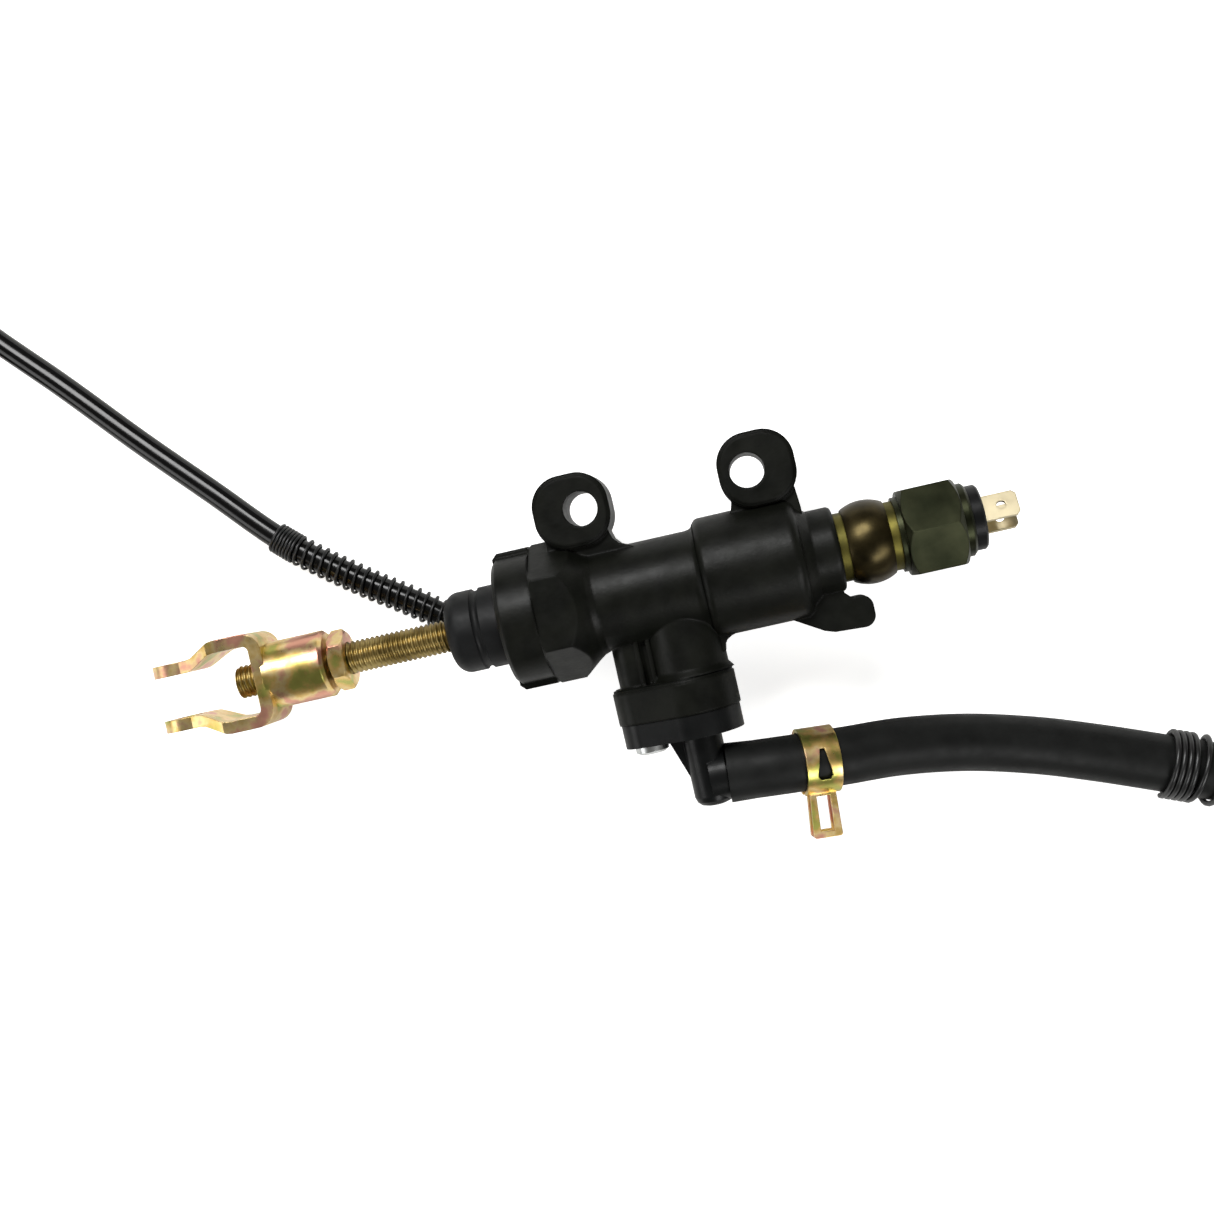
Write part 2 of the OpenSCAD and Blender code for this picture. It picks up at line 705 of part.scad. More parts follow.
module secondary_seal() {
    seal_r = bore_r - 0.03;
    groove_r = 4.4;
    color("#202226") at_bore() along_x(rear_seal_x) rotate_extrude() difference() {
        translate([groove_r, 0]) square([seal_r - groove_r, rear_seal_l]);
        translate([seal_r + 0.5, rear_seal_l / 2]) circle(r = 0.9);
    }
}

module spring_seat() {
    color("#9fa3a6") at_bore() along_x(nose_x) disc(return_spring_d / 2 + 0.5, seat_t, stem_r + 0.05);
}

module return_spring() {
    free = bore_end_x - spring_x - 2 * spring_gap - return_wire_d;
    start = spring_x + spring_gap + return_wire_d / 2;
    turns = 8;
    steps = 14;
    line = [[start, 0, 0], [start + free, 0, 0]];
    color("#a2a5a8") at_bore() wound(line, [for (i = [0 : turns * steps]) free * i / (turns * steps)],
        steps, (return_spring_d - return_wire_d) / 2, return_wire_d / 2, 6);
}

// ---- the banjo and the pressure switch ----

module inner_washer() {
    color("#8b8440") at_bore() along_x(seal_face_x) disc(washer_d / 2, washer_t, bolt_d / 2 + 0.1);
}

module outer_washer() {
    color("#8b8440") at_bore() along_x(outer_washer_x) disc(washer_d / 2, washer_t, bolt_d / 2 + 0.1);
}

module banjo_fitting() {
    drop = hose_z + neck_bend_r;
    inner_r = 6.4;
    color("#3f3328") at_bore() difference() {
        union() {
            intersection() {
                translate([ball_mid_x, 0, 0]) sphere(d = ball_d);
                along_x(banjo_x) cylinder(d = ball_d + 2, h = ball_w);
            }
            translate([ball_mid_x, 0, drop]) cylinder(r = neck_tube_r, h = -drop);
            translate([ball_mid_x - neck_bend_r, 0, drop]) rotate([90, 0, 0]) rotate_extrude(angle = -90)
                translate([neck_bend_r, 0]) circle(r = neck_tube_r);
            along_x(ferrule_x) translate([-hose_z, 0, 0]) cylinder(r = neck_tube_r, h = 1 + tiny);
        }
        along_x(banjo_x - 1) cylinder(r = bolt_d / 2 + 0.1, h = ball_w + 2);
        along_x(banjo_x + 2) cylinder(r = inner_r, h = ball_w - 4);
    }
}

// A crimped sleeve drawn along +Z
module crimped_sleeve(r, l) {
    groove = 0.5;
    difference() {
        cylinder(r = r, h = l);
        for (z = [l * 0.45, l * 0.62, l * 0.79]) translate([0, 0, z]) rotate_extrude()
            translate([r + 0.4, 0]) circle(r = groove + 0.4, $fn = 24);
    }
}

module hose_ferrule() {
    color("#2c2c2b") at_bore() along_x(ferrule_x) translate([-hose_z, 0, 0]) mirror([0, 0, 1])
        crimped_sleeve(ferrule_r, ferrule_l);
}

module switch_hexagon() {
    corner_r = switch_af / 2 / cos(30);
    chamfer = 1.5;
    rim_r = switch_af / 2 - 0.2;
    intersection() {
        cylinder(r = corner_r, h = switch_hex_l, $fn = 6);
        union() {
            cylinder(r1 = rim_r, r2 = corner_r, h = chamfer);
            translate([0, 0, chamfer]) cylinder(r = corner_r, h = switch_hex_l - 2 * chamfer);
            translate([0, 0, switch_hex_l - chamfer]) cylinder(r1 = corner_r, r2 = rim_r, h = chamfer);
        }
    }
}

module switch_body() {
    drill_r = 2;
    color("#474a3d") at_bore() difference() {
        union() {
            along_x(switch_x - stem_l) cylinder(r1 = bolt_r - 0.8, r2 = bolt_r, h = 0.8);
            along_x(switch_x - stem_l + 0.8) cylinder(r = bolt_r, h = stem_l);
            along_x(switch_x) cylinder(d = washer_d + 1.4, h = switch_flange_t + tiny);
            along_x(switch_hex_x) switch_hexagon();
            along_x(crimp_x - tiny) cylinder(d = crimp_d, h = crimp_l - 0.6 + tiny);
            along_x(crimp_x + crimp_l - 0.6) cylinder(d1 = crimp_d, d2 = crimp_d - 1.2, h = 0.6);
        }
        along_x(switch_x - stem_l - 1) cylinder(r = drill_r, h = chamber_x - switch_x + stem_l + 2);
        translate([ball_mid_x, 0, -8]) cylinder(r = 1.2, h = 16);
        along_x(chamber_x) cylinder(r = chamber_r, h = 40);
        along_x(crimp_x - 1) cylinder(d = insulator_d + 0.1, h = 40);
    }
}

module switch_diaphragm() {
    color("#b56b2a") at_bore() along_x(chamber_x) cylinder(r = chamber_r - 0.05, h = diaphragm_t);
}

module contact_plate() {
    color("#c59a3c") at_bore() along_x(plate_x) {
        cylinder(r = 1.8, h = plate_t);
        translate([0, 0, plate_t]) cylinder(r = chamber_r - 0.6, h = 0.6);
        translate([0, 0, plate_t]) cylinder(r = 1.4, h = 1.6);
    }
}

module contact_spring() {
    start = plate_x + plate_t + 0.6 + 0.5;
    end = crimp_x - 1 - 0.5;
    turns = 4;
    steps = 10;
    line = [[start, 0, 0], [end, 0, 0]];
    color("#b9bbbd") at_bore() wound(line,
        [for (i = [0 : turns * steps]) (end - start) * i / (turns * steps)], steps, 2.4, 0.25, 4);
}

// A terminal's place in the insulator, one on each side of the switch's axis
module at_blade(side) {
    rotate([-blade_turn, 0, 0]) translate([0, 0, side * blade_offset]) children();
}

module blade_slot(side) {
    at_blade(side) translate([crimp_x - 3, -blade_w / 2 - 0.05, -blade_t / 2 - 0.05])
        cube([40, blade_w + 0.1, blade_t + 0.1]);
}

module switch_insulator() {
    foot_l = insulator_x - crimp_x + 1;
    color("#1b1b1c") at_bore() difference() {
        union() {
            along_x(crimp_x - 1) cylinder(d = insulator_d, h = foot_l + insulator_l - 0.5);
            along_x(blade_x - 0.5) cylinder(d1 = insulator_d, d2 = insulator_d - 1, h = 0.5);
        }
        for (side = [-1, 1]) blade_slot(side);
    }
}

module blade(side) {
    chamfer = 0.9;
    at_blade(side) translate([0, 0, -blade_t / 2]) difference() {
        linear_extrude(blade_t) polygon([
            [blade_foot_x, -blade_w / 2], [blade_x + blade_l - chamfer, -blade_w / 2],
            [blade_x + blade_l, -blade_w / 2 + chamfer], [blade_x + blade_l, blade_w / 2 - chamfer],
            [blade_x + blade_l - chamfer, blade_w / 2], [blade_foot_x, blade_w / 2]
        ]);
        translate([blade_x + blade_l - 3.9, 0, -1]) cylinder(r = 1.1, h = blade_t + 2);
    }
}

module terminal_front() {
    color("#c8bfa2") at_bore() blade(1);
}

module terminal_back() {
    color("#c8bfa2") at_bore() blade(-1);
}

// ---- the elbow and its pieces ----

module reservoir_elbow() {
    foot_y = joint_y - seat_gap;
    gusset_t = 2;
    barb = 0.5;
    pipe_r = pipe_d / 2;
    pipe_l = outlet_drop + foot_y + corner_r + 0.4;
    color("#1a1b1b") at_bore() difference() {
        union() {
            along_port(port_x, foot_y) linear_extrude(elbow_flange_t) mirror([1, 0])
                pear(flange_d / 2 - 0.4, flange_ear_d / 2 - 0.4, screw_reach);
            along_port(port_x, foot_y + plug_l) cylinder(r = plug_r, h = plug_l + 1);
            along_port(port_x, foot_y) rotate_extrude() polygon([
                [0, 0], [pipe_r, 0], [pipe_r, pipe_l - 2.4], [pipe_r - 0.4, pipe_l - 1.2],
                [pipe_r - 1.2, pipe_l - 0.4], [pipe_r - 2.4, pipe_l], [0, pipe_l]
            ]);
            along_x(port_x) translate([0, -outlet_drop, 0]) cylinder(r = corner_r, h = shoulder_x - port_x);
            along_x(port_x) translate([0, -outlet_drop, 0])
                cylinder(r = spigot_r, h = shoulder_x - port_x + spigot_l - 3);
            along_x(shoulder_x + spigot_l - 3) translate([0, -outlet_drop, 0])
                cylinder(r1 = spigot_r + barb, r2 = spigot_r - barb, h = 3);
            translate([port_x, 0, -gusset_t / 2]) linear_extrude(gusset_t) polygon([
                [0, foot_y - elbow_flange_t + 1], [-8.4, foot_y - elbow_flange_t + 1],
                [-pipe_r + 0.2, -outlet_drop + 0.6], [0, -outlet_drop + 0.6]
            ]);
        }
        along_port(port_x, foot_y + plug_l + 1) cylinder(d = pipe_bore, h = outlet_drop + foot_y + plug_l + 1);
        translate([port_x, -outlet_drop, 0]) sphere(d = pipe_bore);
        along_x(port_x) translate([0, -outlet_drop, 0]) cylinder(d = pipe_bore, h = 60);
        along_port(screw_x, foot_y + 1) cylinder(r = screw_r + 0.3, h = 20);
    }
}

module elbow_seal() {
    color("#131313") at_bore() along_port(port_x, joint_y + 6) disc(socket_r - 0.05, 4, plug_r + 0.05);
}

module elbow_screw() {
    head_h = 2.2;
    head_r_screw = 4;
    drive_w = 1;
    color("#c9cbcc") at_bore() along_port(screw_x, joint_y + 8) difference() {
        union() {
            cylinder(r = screw_r - 0.1, h = 8 + seat_gap + elbow_flange_t + 0.1);
            translate([0, 0, 8 + seat_gap + elbow_flange_t]) cylinder(r = head_r_screw, h = head_h - 0.6);
            translate([0, 0, 8 + seat_gap + elbow_flange_t + head_h - 0.6])
                cylinder(r1 = head_r_screw, r2 = head_r_screw - 1, h = 0.6);
        }
        for (a = [0, 90]) rotate([0, 0, a])
            translate([-2.2, -drive_w / 2, 8 + seat_gap + elbow_flange_t + head_h - 1.2])
                cube([4.4, drive_w, 3]);
    }
}

// ---- the feed hose ----

feed_curve = smooth(feed_route, rings_per_span);
feed_runs = run_lengths(feed_curve);
feed_hose_bore = 8;

// The same curve, a little longer at both ends
function longer(p) = concat([p[0] - direction(p, 0)], p, [p[len(p) - 1] + direction(p, len(p) - 1)]);

module reservoir_hose() {
    color("#1c1d1c") at_bore() difference() {
        tube_along(feed_curve, feed_hose_d, 12);
        tube_along(longer(feed_curve), feed_hose_bore, 8);
    }
}

// Stands children, drawn about +X, at a distance along the feed hose
module on_feed_hose(s) {
    p = point_at(feed_curve, feed_runs, s);
    t = direction_at(feed_curve, feed_runs, s);
    translate(p) rotate([0, -asin(t[2]), atan2(t[1], t[0])]) children();
}

// A spring band clamp, centred on the origin with its ears towards -Y
module band_clamp() {
    band_r = feed_hose_d / 2 + 0.15;
    band_t = 0.9;
    band_w = 8.4;
    ear_h = 11.2;
    ear_top = 6.2;
    ear_end = 7;
    rail = 1.4;
    ear_gap = 1.6;
    difference() {
        union() {
            translate([-band_w / 2, 0, 0]) rotate([0, 90, 0]) disc(band_r + band_t, band_w, band_r);
            for (side = [-1, 1]) translate([0, 0, side * ear_gap - band_t / 2]) linear_extrude(band_t)
                polygon([
                    [-ear_top / 2, -band_r + 0.3], [ear_top / 2, -band_r + 0.3],
                    [ear_end / 2, -band_r - ear_h + 0.4], [ear_end / 2 - 0.4, -band_r - ear_h],
                    [-ear_end / 2 + 0.4, -band_r - ear_h], [-ear_end / 2, -band_r - ear_h + 0.4]
                ]);
        }
        linear_extrude(20) polygon([
            [-1.1, -3.8], [1.1, -3.8], [1.8, -2.9], [1.7, -2], [0.6, 3.6], [-0.6, 3.6], [-1.7, -2], [-1.8, -2.9]
        ]);
        translate([-ear_top / 2 + rail, -band_r - ear_h + rail, -ear_gap * 2])
            cube([ear_top - 2 * rail, ear_h - rail - 1.2, ear_gap * 4]);
        translate([-band_w, -band_r - 2, -ear_gap + band_t / 2]) cube([2 * band_w, 3, 2 * ear_gap - band_t]);
    }
}

module hose_clamp() {
    color("#c7a44c") at_bore() on_feed_hose(21.4) band_clamp();
}

module far_clamp() {
    color("#c7a44c") at_bore() on_feed_hose(156) band_clamp();
}

module hose_guard() {
    closed = 4;
    steps = 14;
    open_pitch = 5;
    first = 108;
    turns = 10;
    color("#222322") at_bore() wound(feed_curve, [
            for (i = [0 : turns * steps]) let (t = i / steps)
                first + (t < closed ? t * (feed_wire_d + 0.1)
                : closed * (feed_wire_d + 0.1) + (t - closed) * open_pitch)
        ], steps, feed_hose_d / 2 + feed_wire_d / 2 + 0.25, feed_wire_d / 2, 5);
}

// ---- the pressure hose ----

brake_curve = smooth([for (p = brake_route) [p[0], p[1], ground_z + brake_hose_d / 2 + p[2]]], rings_per_span);

module brake_hose() {
    color("#141414") at_bore() tube_along(brake_curve, brake_hose_d, 8);
}

module brake_guard() {
    steps = 10;
    closed = 7;
    pitch = 2.4;
    open = 26;
    first = 130;
    closed_pitch = guard_wire_d + 0.1;
    color("#1a1a1a") at_bore() wound(brake_curve, [
            for (i = [0 : (closed + open) * steps]) let (t = i / steps)
                first - (t < closed ? t * closed_pitch
                : closed * closed_pitch + (t - closed) * pitch)
        ], steps, brake_hose_d / 2 + guard_wire_d / 2 + 0.2, guard_wire_d / 2, 4);
}

coil_w = coil_turns * brake_hose_d + 0.4;
coil_top = ground_z + brake_hose_d + 0.4;
eye_w = 10;

module brake_hose_coil() {
    rise_a = 28;
    rise_l = 17;
    color("#141414") at_bore() {
        translate([coil_centre[0], coil_centre[1], ground_z + 0.1]) rotate_extrude()
            translate([coil_r - coil_w / 2, 0]) square([coil_w, brake_hose_d + 0.3]);
        at_far_end() rotate([0, 90 - rise_a, 0]) translate([0, 0, -rise_l])
            cylinder(d = brake_hose_d, h = rise_l);
    }
}

module coil_tie() {
    wall = 1.2;
    wide = 8;
    color("#101010") at_bore() translate([coil_centre[0], coil_centre[1], 0]) rotate([0, 0, 90])
        translate([coil_r, 0, ground_z]) difference() {
            translate([-coil_w / 2 - wall, -wide / 2, 0.05])
                cube([coil_w + 2 * wall, wide, brake_hose_d + 0.4 + wall]);
            translate([-coil_w / 2 - 0.4, -wide, -1]) cube([coil_w + 0.8, 2 * wide, brake_hose_d + 1.45]);
        }
}

// The far end of the pressure hose lies on the coil, drawn along +X from its crimped sleeve
module at_far_end() {
    translate([coil_centre[0], coil_centre[1], coil_top + eye_w / 2 + 0.05]) rotate([0, 0, 315])
        translate([-4, -coil_r + brake_hose_d / 2 + 0.1, 0]) children();
}

module caliper_ferrule() {
    color("#2c2c2b") at_bore() at_far_end() along_x(0) crimped_sleeve(ferrule_r, ferrule_l);
}

module caliper_banjo() {
    eye_r = 8.6;
    neck_l = 8;
    color("#3f3328") at_bore() at_far_end() difference() {
        union() {
            along_x(ferrule_l) cylinder(r = neck_tube_r, h = neck_l + 4);
            intersection() {
                translate([ferrule_l + neck_l + eye_r - 2, 0, 0]) sphere(r = eye_r + 0.6);
                translate([ferrule_l + neck_l + eye_r - 2, 0, -eye_w / 2]) cylinder(r = eye_r, h = eye_w);
            }
        }
        translate([ferrule_l + neck_l + eye_r - 2, 0, -20]) cylinder(d = 10.2, h = 40);
    }
}

cylinder_body();
dust_boot();
retaining_ring();
stop_washer();
pushrod();
lock_nut();
clevis();
piston();
primary_cup();
secondary_seal();
spring_seat();
return_spring();
inner_washer();
banjo_fitting();
outer_washer();
hose_ferrule();
switch_body();
switch_diaphragm();
contact_plate();
contact_spring();
switch_insulator();
terminal_front();
terminal_back();
reservoir_elbow();
elbow_seal();
elbow_screw();
reservoir_hose();
hose_clamp();
hose_guard();
far_clamp();
brake_hose();
brake_guard();
brake_hose_coil();
coil_tie();
caliper_ferrule();
caliper_banjo();
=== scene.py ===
"""Looks for a rear brake master cylinder with its hoses, on a pale table under soft studio light."""

from __future__ import annotations

import json
import logging
import math
from dataclasses import dataclass, field
from enum import Enum

import bmesh
import bpy
from mathutils import Matrix, Vector

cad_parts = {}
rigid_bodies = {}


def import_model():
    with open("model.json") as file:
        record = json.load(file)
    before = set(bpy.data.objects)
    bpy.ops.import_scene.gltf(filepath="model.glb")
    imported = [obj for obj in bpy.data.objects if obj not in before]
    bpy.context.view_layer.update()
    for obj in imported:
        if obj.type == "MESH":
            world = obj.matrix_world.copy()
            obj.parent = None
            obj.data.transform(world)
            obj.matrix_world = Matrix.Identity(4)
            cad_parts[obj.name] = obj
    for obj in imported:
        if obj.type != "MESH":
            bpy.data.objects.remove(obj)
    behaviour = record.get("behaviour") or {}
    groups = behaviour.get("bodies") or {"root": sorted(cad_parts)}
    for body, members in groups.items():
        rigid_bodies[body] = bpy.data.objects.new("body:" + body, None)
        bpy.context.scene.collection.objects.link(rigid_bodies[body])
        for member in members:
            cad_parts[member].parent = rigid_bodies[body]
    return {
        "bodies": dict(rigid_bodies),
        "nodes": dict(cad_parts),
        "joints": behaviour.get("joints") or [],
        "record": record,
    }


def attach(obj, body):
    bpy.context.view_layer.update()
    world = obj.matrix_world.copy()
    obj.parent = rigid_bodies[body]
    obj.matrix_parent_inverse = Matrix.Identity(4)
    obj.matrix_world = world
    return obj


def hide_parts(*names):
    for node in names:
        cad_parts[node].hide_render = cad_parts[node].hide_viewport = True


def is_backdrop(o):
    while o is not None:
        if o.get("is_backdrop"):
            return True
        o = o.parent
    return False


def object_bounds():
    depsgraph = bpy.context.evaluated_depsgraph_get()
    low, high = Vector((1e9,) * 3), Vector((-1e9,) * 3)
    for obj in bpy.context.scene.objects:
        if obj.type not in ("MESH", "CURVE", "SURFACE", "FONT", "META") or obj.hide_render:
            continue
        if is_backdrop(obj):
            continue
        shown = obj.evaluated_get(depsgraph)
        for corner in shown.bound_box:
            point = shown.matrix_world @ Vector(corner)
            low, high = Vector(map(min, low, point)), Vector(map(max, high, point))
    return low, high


LOG = logging.getLogger("brake_master_cylinder")
MM = 0.001
# The bore's axis in the row frame; every route below is drawn about it
BORE = Vector((0.0, -22.5, 0.0))
TABLE_Z = -24.4
# Where a noise pattern's lowest and highest common values lie
NOISE_LOW, NOISE_HIGH = 0.3, 0.7
COAT_ROUGHNESS = 0.12
# Points on each span of a hose's route
SPAN_STEPS = 8
# Edges that turn by more than this stay sharp, in degrees
SHARP_ANGLE = 28


class Shape(Enum):
    """How a pattern's cells are stretched over a piece."""

    EVEN = (1.0, 1.0, 1.0)
    ALONG_BORE = (0.15, 1.0, 1.0)


class LightKind(Enum):
    """The kinds of lamp that the studio uses."""

    AREA = "AREA"


def point(x: float, y: float, z: float) -> Vector:
    """A place measured from the bore's axis, in the row frame.

    Args:
        x: Millimetres along the bore.
        y: Millimetres from the bore towards the ears.
        z: Millimetres up from the bore.

    Returns:
        The place in metres.
    """
    return (BORE + Vector((x, y, z))) * MM


def linear(hex_colour: str) -> tuple[float, float, float, float]:
    """Turns a hex sRGB colour into linear light.

    Args:
        hex_colour: Six hex digits, with or without a leading hash.

    Returns:
        Red, green, blue and an alpha of 1, in linear light.
    """
    digits = hex_colour.lstrip("#")
    channels = [int(digits[i : i + 2], 16) / 255 for i in (0, 2, 4)]
    light = [c / 12.92 if c <= 0.04045 else ((c + 0.055) / 1.055) ** 2.4 for c in channels]
    return (light[0], light[1], light[2], 1.0)


# ---- node graphs ----


@dataclass
class Graph:
    """A material's node tree, with one way to add a node to it."""

    tree: bpy.types.NodeTree

    def add(self, kind: str, links: dict | None = None, **settings: object) -> bpy.types.Node:
        """Adds a node.

        Args:
            kind: The node's type name.
            links: Input name or number to a socket to link from, or to a plain value.
            **settings: Attributes to set on the node.

        Returns:
            The new node.
        """
        node = self.tree.nodes.new(kind)
        for name, value in settings.items():
            setattr(node, name, value)
        for name, source in (links or {}).items():
            if isinstance(source, bpy.types.NodeSocket):
                self.tree.links.new(source, node.inputs[name])
            else:
                node.inputs[name].default_value = source
        return node

    def ramp(self, factor: bpy.types.NodeSocket, stops: list[tuple[float, str]]) -> bpy.types.NodeSocket:
        """Adds a colour ramp.

        Args:
            factor: The socket that drives the ramp.
            stops: Place and hex colour of each stop, in order.

        Returns:
            The ramp's colour socket.
        """
        node = self.add("ShaderNodeValToRGB", {"Fac": factor})
        elements = node.color_ramp.elements
        while len(elements) < len(stops):
            elements.new(0.5)
        for element, (place, colour) in zip(elements, stops):
            element.position = place
            element.color = linear(colour)
        return node.outputs["Color"]

    def noise(
        self, cell_mm: float, detail: float = 4.0, shape: Shape = Shape.EVEN, seed: float = 0.0
    ) -> bpy.types.NodeSocket:
        """Adds a noise pattern in real size.

        Args:
            cell_mm: Size of one cell of the pattern, in millimetres.
            detail: Octaves of finer detail.
            shape: How the cells are stretched.
            seed: Moves the pattern, so that two of them differ.

        Returns:
            The pattern's factor socket.
        """
        place = self.add("ShaderNodeTexCoord").outputs["Object"]
        moved = self.add(
            "ShaderNodeMapping", {"Vector": place, "Scale": shape.value, "Location": (seed, seed, seed)}
        )
        scale = 1.0 / (cell_mm * MM)
        inputs = {"Vector": moved.outputs["Vector"], "Scale": scale, "Detail": detail}
        return self.add("ShaderNodeTexNoise", inputs).outputs["Fac"]

    def spread(self, factor: bpy.types.NodeSocket, low: float, high: float) -> bpy.types.NodeSocket:
        """Maps the middle of a noise pattern to a range.

        Args:
            factor: The pattern.
            low: Value where the pattern is lowest.
            high: Value where the pattern is highest.

        Returns:
            The mapped socket.
        """
        limits = {
            "Value": factor,
            "From Min": NOISE_LOW,
            "From Max": NOISE_HIGH,
            "To Min": low,
            "To Max": high,
        }
        return self.add("ShaderNodeMapRange", limits).outputs["Result"]


@dataclass(frozen=True)
class Finish:
    """A real surface finish.

    Attributes:
        name: The material's real name.
        stops: Colours that the surface varies between, by place on a ramp.
        metallic: 1 for bare or plated metal, 0 for everything else.
        rough: Lowest and highest roughness.
        patch_mm: Size of the patches in which the colour varies.
        grain_mm: Size of the surface's grain.
        grain: Height of the grain, in millimetres.
        edge_mm: Radius that the piece's edges are seen to have.
        shape: How the patches are stretched.
        coat: Strength of a clear layer on top.
        gloss: How strongly a surface that isn't metal mirrors; 0.5 is the usual level.
    """

    name: str
    stops: tuple[tuple[float, str], ...]
    metallic: float = 0.0
    rough: tuple[float, float] = (0.35, 0.5)
    patch_mm: float = 6.0
    grain_mm: float = 0.5
    grain: float = 0.01
    edge_mm: float = 0.25
    shape: Shape = Shape.EVEN
    coat: float = 0.0
    gloss: float = 0.5

    def material(self) -> bpy.types.Material:
        """Makes the finish's material, once.

        Returns:
            The material.
        """
        found = bpy.data.materials.get(self.name)
        if found is not None:
            return found
        material = bpy.data.materials.new(self.name)
        material.use_nodes = True
        material.node_tree.nodes.clear()
        graph = Graph(material.node_tree)
        colour = graph.ramp(graph.noise(self.patch_mm, shape=self.shape), list(self.stops))
        rough = graph.spread(graph.noise(self.patch_mm * 0.6, seed=3.0), *self.rough)
        rounded = graph.add("ShaderNodeBevel", {"Radius": self.edge_mm * MM}, samples=4)
        bump = graph.add(
            "ShaderNodeBump",
            {
                "Height": graph.noise(self.grain_mm, detail=2.0),
                "Normal": rounded.outputs["Normal"],
                "Strength": 1.0,
                "Distance": self.grain * MM,
            },
        )
        shader = graph.add(
            "ShaderNodeBsdfPrincipled",
            {
                "Base Color": colour,
                "Metallic": self.metallic,
                "Roughness": rough,
                "Normal": bump.outputs["Normal"],
                "Specular IOR Level": self.gloss,
                "Coat Weight": self.coat,
                "Coat Roughness": COAT_ROUGHNESS,
            },
        )
        graph.add("ShaderNodeOutputMaterial", {"Surface": shader.outputs["BSDF"]})
        return material

    def dress(self, obj: bpy.types.Object) -> None:
        """Gives an object this finish as its only material.

        Args:
            obj: The object.
        """
        obj.data.materials.clear()
        obj.data.materials.append(self.material())


# Satin black paint over a sand-cast alloy body: nearly black, with broad soft lights
CASTING = Finish(
    "satin black paint on cast alloy",
    ((0.35, "0a0b08"), (0.65, "12130f")),
    rough=(0.34, 0.46),
    grain_mm=0.9,
    grain=0.03,
    edge_mm=0.8,
    gloss=0.13,
)
# Zinc plating with a yellow passivate: pale gold that drifts to green and pink
YELLOW_ZINC = Finish(
    "yellow passivated zinc",
    ((0.38, "b4b05c"), (0.46, "ddb970"), (0.54, "ead095"), (0.62, "dba088")),
    metallic=1.0,
    rough=(0.26, 0.38),
    patch_mm=7.0,
    grain_mm=0.4,
    grain=0.004,
    edge_mm=0.3,
)
# The same plating on a rolled thread, its colour darkened to olive brown with painted shade that stands in
# for the shade its grooves hold
ROD_ZINC_WITH_GROOVE_SHADE = Finish(
    "yellow zinc on a rolled thread with painted groove shade",
    ((0.35, "7a6738"), (0.65, "b09c66")),
    metallic=1.0,
    rough=(0.3, 0.45),
    grain=0.003,
    edge_mm=0.05,
)
# Sealing washers with a dull olive passivate
OLIVE_WASHER = Finish(
    "dull olive washer", ((0.35, "4b4724"), (0.65, "6c6531")), metallic=1.0, rough=(0.4, 0.55), grain=0.006
)
# The banjo's steel, zinc plated and passivated to a dark olive brown
DARK_ZINC = Finish(
    "dark passivated zinc", ((0.3, "2b2619"), (0.7, "4a4129")), metallic=1.0, rough=(0.28, 0.4), grain=0.006
)
# The switch's shell, zinc plated with a grey olive passivate, its edges rounded in shading
OLIVE_ZINC = Finish(
    "olive passivated zinc",
    ((0.3, "24271b"), (0.7, "373929")),
    metallic=1.0,
    rough=(0.3, 0.42),
    patch_mm=8.0,
    grain=0.006,
    edge_mm=0.35,
)
# Crimped steel with a black passivate, a little glossy
BLACK_FERRULE = Finish(
    "black passivated crimp", ((0.3, "1d1c1a"), (0.7, "2b2926")), metallic=1.0, rough=(0.35, 0.5)
)
# Bright zinc on a small screw, nearly white
BRIGHT_ZINC = Finish(
    "bright zinc plating", ((0.3, "c4c6c6"), (0.7, "d8dad9")), metallic=1.0, rough=(0.25, 0.35), grain=0.003
)
# Tin over stamped brass, warm grey
TINNED = Finish(
    "tin-plated brass blade", ((0.3, "b5a98c"), (0.7, "cabf9f")), metallic=1.0, rough=(0.28, 0.4), grain=0.002
)
# Drawn steel wire and stamped steel, plain grey
SPRING_STEEL = Finish("spring steel", ((0.3, "8f9294"), (0.7, "a8abad")), metallic=1.0, edge_mm=0.05)
# Turned aluminium alloy, a warm grey
ALLOY = Finish("turned alloy", ((0.3, "b3afa4"), (0.7, "c2beb4")), metallic=1.0, rough=(0.25, 0.35))
# Bare brass sheet
BRASS = Finish("bare brass", ((0.3, "b8913f"), (0.7, "c9a452")), metallic=1.0, rough=(0.25, 0.35))
# Moulded rubber of the boot, matt
BOOT_RUBBER = Finish(
    "matt black boot rubber", ((0.3, "090a0a"), (0.7, "111213")), rough=(0.45, 0.6), grain=0.008, gloss=0.2
)
# Smooth rubber of the seals
SEAL_RUBBER = Finish("black seal rubber", ((0.3, "101012"), (0.7, "17181a")), rough=(0.4, 0.55))
# Extruded rubber of the feed hose, matt with a fine cloth grain
FEED_RUBBER = Finish(
    "matt black hose rubber",
    ((0.3, "0c0d0c"), (0.7, "161716")),
    rough=(0.46, 0.58),
    grain_mm=0.8,
    grain=0.012,
    gloss=0.16,
)
# Polished cover of the pressure hose, with a narrow bright line of light
HOSE_RUBBER = Finish(
    "glossy black hose rubber",
    ((0.3, "050505"), (0.7, "0a0a0a")),
    rough=(0.14, 0.2),
    grain=0.004,
    edge_mm=0.1,
    gloss=0.3,
)
# Moulded nylon with the faint sheen of its polished mould
MOULDED_NYLON = Finish(
    "black moulded nylon", ((0.3, "090a0a"), (0.7, "121313")), rough=(0.3, 0.42), coat=0.03, gloss=0.16
)
# Wire with a thin black coating
BLACK_WIRE = Finish("black coated wire", ((0.3, "0d0d0d"), (0.7, "161616")), rough=(0.3, 0.4), edge_mm=0.05)
# Polyimide film, clear amber
AMBER_FILM = Finish("amber film", ((0.3, "9a5a20"), (0.7, "b46f2c")), rough=(0.2, 0.3), edge_mm=0.05)

